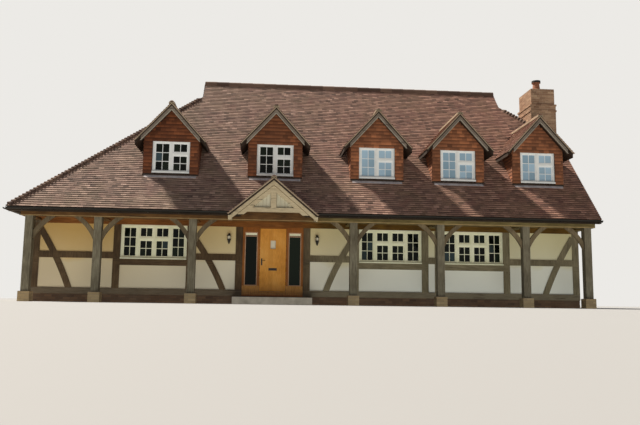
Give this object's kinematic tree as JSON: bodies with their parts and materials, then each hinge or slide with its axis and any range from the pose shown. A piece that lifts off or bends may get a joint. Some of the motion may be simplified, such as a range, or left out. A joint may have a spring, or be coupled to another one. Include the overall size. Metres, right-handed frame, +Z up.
{
  "type": "half timbered house",
  "caption": "Half timbered house with a tiled roof down over an oak post veranda, gabled dormers, a porch gable and a chimney.",
  "frame": {"origin": "centre of the house's bounding box on the ground", "axes": "+X along the front from left to right as seen from the front, +Y from the front to the rear, +Z up"},
  "size_m": [18.739, 10.308, 8.83],
  "materials": {
    "plinth_brick": "rough",
    "floor_screed": "matt",
    "step_stone": "rough",
    "sheltered_oak": "matt",
    "weathered_oak": "rough",
    "lime_render": "matt",
    "painted_joinery": "satin",
    "window_glass": "gloss",
    "door_oak": "satin",
    "black_iron": "satin",
    "pier_brick": "rough",
    "black_gutter": "satin",
    "roof_tile": "matt",
    "ridge_clay": "matt",
    "hung_tile": "matt",
    "sheet_lead": "matt",
    "chimney_brick": "rough",
    "pot_clay": "matt"
  },
  "bodies": {
    "house": {"brick_plinth": "plinth_brick", "ground_floor": "floor_screed", "doorstep": "step_stone", "front_frame_left": "sheltered_oak", "front_frame_right": "sheltered_oak", "front_head_beam": "sheltered_oak", "front_panels": "lime_render", "left_frame": "weathered_oak", "right_frame": "weathered_oak", "side_panels": "lime_render", "rear_frame": "weathered_oak", "rear_panels": "lime_render", "ground_windows": "painted_joinery", "window_glass": "window_glass", "door_frame": "door_oak", "veranda_piers": "pier_brick", "veranda_posts": "weathered_oak", "veranda_beams": "weathered_oak", "veranda_braces": "weathered_oak", "upper_floor": "sheltered_oak", "gutters": "black_gutter", "front_slope": "roof_tile", "rear_slope": "roof_tile", "left_hip": "roof_tile", "right_half_hip": "roof_tile", "ridge_tiles": "ridge_clay", "gablets": "hung_tile", "right_gable": "hung_tile", "dormer_1_walls": "hung_tile", "dormer_2_walls": "hung_tile", "dormer_3_walls": "hung_tile", "dormer_4_walls": "hung_tile", "dormer_5_walls": "hung_tile", "rear_dormer_walls": "hung_tile", "dormer_roofs": "roof_tile", "dormer_bargeboards": "weathered_oak", "upper_windows": "painted_joinery", "lead_aprons": "sheet_lead", "chimney_stack": "chimney_brick", "chimney_pot": "pot_clay", "porch_gable": "weathered_oak", "porch_roof": "roof_tile", "wall_lanterns": "black_iron"},
    "front_door": {"front_door": "door_oak", "door_light": "window_glass", "door_furniture": "black_iron"}
  },
  "joints": [
    {"name": "front_door_swing", "type": "hinge", "parent": "house", "child": "front_door", "pos_m": [-1.0355, -3.38, 1.2], "axis": [0, 0, -1], "range_deg": [0, 90]}
  ]
}
